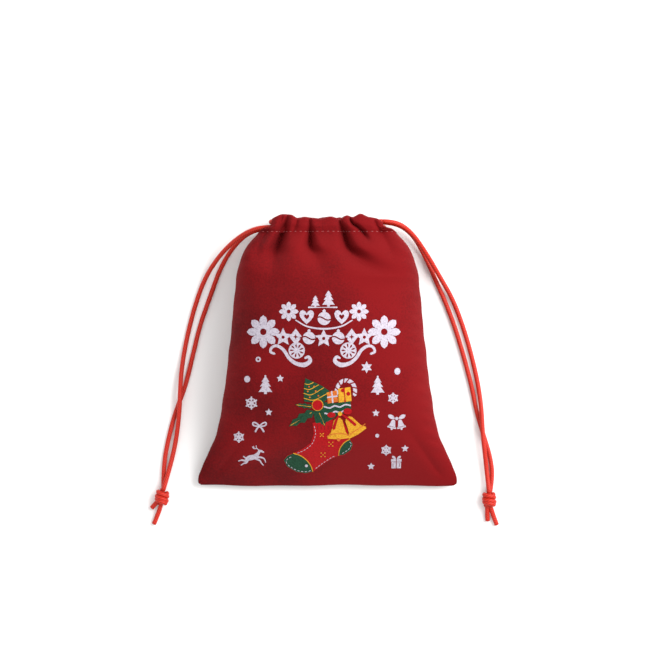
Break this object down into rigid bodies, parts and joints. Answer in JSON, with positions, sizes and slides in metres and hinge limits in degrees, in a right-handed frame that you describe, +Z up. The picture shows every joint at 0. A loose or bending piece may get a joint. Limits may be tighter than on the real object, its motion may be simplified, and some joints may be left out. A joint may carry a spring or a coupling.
{
  "type": "drawstring gift sack",
  "caption": "Velvet drawstring gift sack lying on its back, mouth drawn in by two opposed cords in casings, with printed winter motifs on its front.",
  "frame": {"origin": "under the middle of the sack, on the surface that it lies on (bottom centre of its box, cords apart)", "axes": "+X to the right seen from the printed front, +Y from the bottom seam to the mouth, +Z up, out of the printed front"},
  "size_m": [0.2158, 0.193, 0.0643],
  "materials": {
    "velvet": "short-pile velvet, deep red",
    "thread": "polyester sewing thread",
    "satin_cord": "braided satin cord, orange-red",
    "white_film": "matt transfer film, white",
    "red_film": "matt transfer film, red",
    "green_film": "matt transfer film, green",
    "gold_film": "matt transfer film, gold"
  },
  "bodies": {
    "sack": {"front_panel": "velvet", "back_panel": "velvet", "front_casing": "velvet", "back_casing": "velvet", "front_casing_stitches": "thread", "back_casing_stitches": "thread", "bottom_seam_allowance": "velvet", "bottom_seam_overlock": "thread", "left_seam_allowance": "velvet", "right_seam_allowance": "velvet", "left_seam_overlock": "thread", "right_seam_overlock": "thread", "title_upper_row_print": "white_film", "title_lower_row_print": "white_film", "scroll_prints": "white_film", "fir_tree_prints": "white_film", "snow_crystal_prints": "white_film", "star_prints": "white_film", "dot_prints": "white_film", "bow_print": "white_film", "bells_print": "white_film", "deer_print": "white_film", "gift_box_print": "white_film", "stocking_leg_print": "red_film", "stocking_cuff_print": "green_film", "stocking_filling_print": "gold_film", "stocking_bells_print": "gold_film"},
    "left_drawstring": {"left_cord_in_casings": "satin_cord", "left_cord_front_strand": "satin_cord", "left_cord_back_strand": "satin_cord", "left_knot": "satin_cord"},
    "right_drawstring": {"right_cord_in_casings": "satin_cord", "right_cord_front_strand": "satin_cord", "right_cord_back_strand": "satin_cord", "right_knot": "satin_cord"}
  },
  "joints": [
    {"name": "left_drawstring_pull", "type": "slide", "parent": "sack", "child": "left_drawstring", "axis": [-1, 0, 0], "range_m": [0, 0.008]},
    {"name": "right_drawstring_pull", "type": "slide", "parent": "sack", "child": "right_drawstring", "axis": [1, 0, 0], "range_m": [0, 0.008]}
  ]
}
